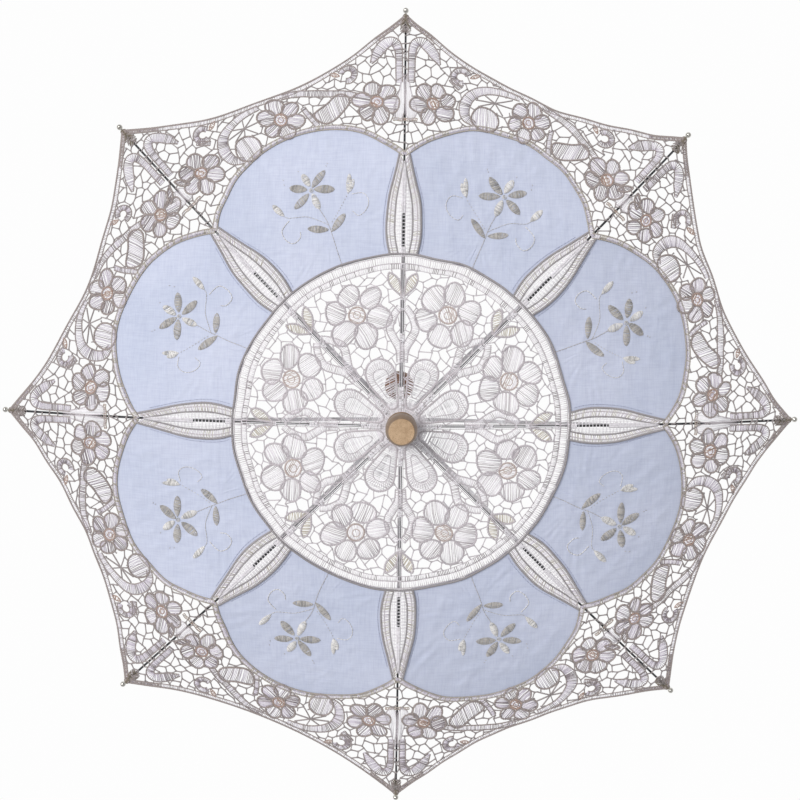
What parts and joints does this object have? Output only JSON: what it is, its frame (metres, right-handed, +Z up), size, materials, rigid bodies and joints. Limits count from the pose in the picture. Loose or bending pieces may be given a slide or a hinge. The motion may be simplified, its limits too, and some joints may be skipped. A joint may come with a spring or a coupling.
{
  "type": "lace parasol",
  "caption": "Open lace parasol with scalloped gores, plain cotton panels between lace, folding black ribs, a sliding runner, a pale shaft, and a turned wood handle and top knob.",
  "frame": {"origin": "centre of the flat end of the handle", "axes": "+Z up the shaft from the handle to the ferrule knob; +X along rib 1, with the parasol open"},
  "size_m": [0.8056, 0.8056, 0.67],
  "materials": {
    "cotton": "matte",
    "lace": "matte",
    "embroidery": "satin",
    "wood": "satin",
    "shaft_metal": "satin",
    "black_metal": "satin",
    "black_plastic": "satin",
    "steel": "satin",
    "nickel": "polished"
  },
  "bodies": {
    "shaft": {"shaft_tube": "shaft_metal", "handle": "wood", "handle_collar": "nickel", "ferrule_knob": "wood", "crown_cap": "wood", "top_notch": "black_plastic", "notch_wire": "steel", "runner_stop_pin": "steel", "top_latch_pin": "steel", "bottom_latch_pin": "steel"},
    "top_latch": {"top_latch": "steel"},
    "bottom_latch": {"bottom_latch": "steel"},
    "runner": {"runner": "black_plastic", "runner_wire": "steel"},
    "rib_1": {"rib_1": "black_metal", "rib_tip_1": "nickel", "rivet_1": "steel", "canopy_sector_1": "cotton"},
    "stretcher_1": {"stretcher_1": "black_metal"},
    "rib_2": {"rib_2": "black_metal", "rib_tip_2": "nickel", "rivet_2": "steel", "canopy_sector_2": "cotton"},
    "stretcher_2": {"stretcher_2": "black_metal"},
    "rib_3": {"rib_3": "black_metal", "rib_tip_3": "nickel", "rivet_3": "steel", "canopy_sector_3": "cotton"},
    "stretcher_3": {"stretcher_3": "black_metal"},
    "rib_4": {"rib_4": "black_metal", "rib_tip_4": "nickel", "rivet_4": "steel", "canopy_sector_4": "cotton"},
    "stretcher_4": {"stretcher_4": "black_metal"},
    "rib_5": {"rib_5": "black_metal", "rib_tip_5": "nickel", "rivet_5": "steel", "canopy_sector_5": "cotton"},
    "stretcher_5": {"stretcher_5": "black_metal"},
    "rib_6": {"rib_6": "black_metal", "rib_tip_6": "nickel", "rivet_6": "steel", "canopy_sector_6": "cotton"},
    "stretcher_6": {"stretcher_6": "black_metal"},
    "rib_7": {"rib_7": "black_metal", "rib_tip_7": "nickel", "rivet_7": "steel", "canopy_sector_7": "cotton"},
    "stretcher_7": {"stretcher_7": "black_metal"},
    "rib_8": {"rib_8": "black_metal", "rib_tip_8": "nickel", "rivet_8": "steel", "canopy_sector_8": "cotton"},
    "stretcher_8": {"stretcher_8": "black_metal"}
  },
  "joints": [
    {"name": "canopy_fold", "type": "hinge", "parent": "shaft", "child": "rib_1", "pos_m": [0.0105, 0, 0.622], "axis": [0, 1, 0], "range_deg": [0, 72], "deforming": ["canopy_sector_1", "canopy_sector_2", "canopy_sector_3", "canopy_sector_4", "canopy_sector_5", "canopy_sector_6", "canopy_sector_7", "canopy_sector_8", "top_latch", "bottom_latch"]},
    {"name": "stretcher_1_hinge", "type": "hinge", "parent": "rib_1", "child": "stretcher_1", "pos_m": [0.20196, 0, 0.58501], "axis": [0, 1, 0], "range_deg": [-144, 0]},
    {"name": "rib_2_hinge", "type": "hinge", "parent": "shaft", "child": "rib_2", "pos_m": [0.00743, 0.00743, 0.622], "axis": [-0.7071, 0.7071, 0], "range_deg": [0, 72]},
    {"name": "stretcher_2_hinge", "type": "hinge", "parent": "rib_2", "child": "stretcher_2", "pos_m": [0.14281, 0.14281, 0.58501], "axis": [-0.7071, 0.7071, 0], "range_deg": [-144, 0]},
    {"name": "rib_3_hinge", "type": "hinge", "parent": "shaft", "child": "rib_3", "pos_m": [0, 0.0105, 0.622], "axis": [-1, 0, 0], "range_deg": [0, 72]},
    {"name": "stretcher_3_hinge", "type": "hinge", "parent": "rib_3", "child": "stretcher_3", "pos_m": [0, 0.20196, 0.58501], "axis": [-1, 0, 0], "range_deg": [-144, 0]},
    {"name": "rib_4_hinge", "type": "hinge", "parent": "shaft", "child": "rib_4", "pos_m": [-0.00743, 0.00743, 0.622], "axis": [-0.7071, -0.7071, 0], "range_deg": [0, 72]},
    {"name": "stretcher_4_hinge", "type": "hinge", "parent": "rib_4", "child": "stretcher_4", "pos_m": [-0.14281, 0.14281, 0.58501], "axis": [-0.7071, -0.7071, 0], "range_deg": [-144, 0]},
    {"name": "rib_5_hinge", "type": "hinge", "parent": "shaft", "child": "rib_5", "pos_m": [-0.0105, 0, 0.622], "axis": [0, -1, 0], "range_deg": [0, 72]},
    {"name": "stretcher_5_hinge", "type": "hinge", "parent": "rib_5", "child": "stretcher_5", "pos_m": [-0.20196, 0, 0.58501], "axis": [0, -1, 0], "range_deg": [-144, 0]},
    {"name": "rib_6_hinge", "type": "hinge", "parent": "shaft", "child": "rib_6", "pos_m": [-0.00743, -0.00743, 0.622], "axis": [0.7071, -0.7071, 0], "range_deg": [0, 72]},
    {"name": "stretcher_6_hinge", "type": "hinge", "parent": "rib_6", "child": "stretcher_6", "pos_m": [-0.14281, -0.14281, 0.58501], "axis": [0.7071, -0.7071, 0], "range_deg": [-144, 0]},
    {"name": "rib_7_hinge", "type": "hinge", "parent": "shaft", "child": "rib_7", "pos_m": [0, -0.0105, 0.622], "axis": [1, 0, 0], "range_deg": [0, 72]},
    {"name": "stretcher_7_hinge", "type": "hinge", "parent": "rib_7", "child": "stretcher_7", "pos_m": [0, -0.20196, 0.58501], "axis": [1, 0, 0], "range_deg": [-144, 0]},
    {"name": "rib_8_hinge", "type": "hinge", "parent": "shaft", "child": "rib_8", "pos_m": [0.00743, -0.00743, 0.622], "axis": [0.7071, 0.7071, 0], "range_deg": [0, 72]},
    {"name": "stretcher_8_hinge", "type": "hinge", "parent": "rib_8", "child": "stretcher_8", "pos_m": [0.14281, -0.14281, 0.58501], "axis": [0.7071, 0.7071, 0], "range_deg": [-144, 0]},
    {"name": "runner_hinge", "type": "hinge", "parent": "stretcher_1", "child": "runner", "pos_m": [0.0105, 0, 0.54802], "axis": [0, 1, 0], "range_deg": [0, 72]},
    {"name": "top_latch_press", "type": "hinge", "parent": "shaft", "child": "top_latch", "pos_m": [0, 0, 0.46371], "axis": [0.3827, -0.9239, 0], "range_deg": [0, 5.4], "stiffness_Nm_per_rad": 0.6},
    {"name": "bottom_latch_press", "type": "hinge", "parent": "shaft", "child": "bottom_latch", "pos_m": [0, 0, 0.24526], "axis": [-0.3827, 0.9239, 0], "range_deg": [0, 5.4], "stiffness_Nm_per_rad": 0.6}
  ],
  "couplings": [
    {"joint": "stretcher_1_hinge", "follows": "canopy_fold", "ratio": -2},
    {"joint": "rib_2_hinge", "follows": "canopy_fold", "ratio": 1},
    {"joint": "stretcher_2_hinge", "follows": "canopy_fold", "ratio": -2},
    {"joint": "rib_3_hinge", "follows": "canopy_fold", "ratio": 1},
    {"joint": "stretcher_3_hinge", "follows": "canopy_fold", "ratio": -2},
    {"joint": "rib_4_hinge", "follows": "canopy_fold", "ratio": 1},
    {"joint": "stretcher_4_hinge", "follows": "canopy_fold", "ratio": -2},
    {"joint": "rib_5_hinge", "follows": "canopy_fold", "ratio": 1},
    {"joint": "stretcher_5_hinge", "follows": "canopy_fold", "ratio": -2},
    {"joint": "rib_6_hinge", "follows": "canopy_fold", "ratio": 1},
    {"joint": "stretcher_6_hinge", "follows": "canopy_fold", "ratio": -2},
    {"joint": "rib_7_hinge", "follows": "canopy_fold", "ratio": 1},
    {"joint": "stretcher_7_hinge", "follows": "canopy_fold", "ratio": -2},
    {"joint": "rib_8_hinge", "follows": "canopy_fold", "ratio": 1},
    {"joint": "stretcher_8_hinge", "follows": "canopy_fold", "ratio": -2},
    {"joint": "runner_hinge", "follows": "canopy_fold", "ratio": 1}
  ]
}
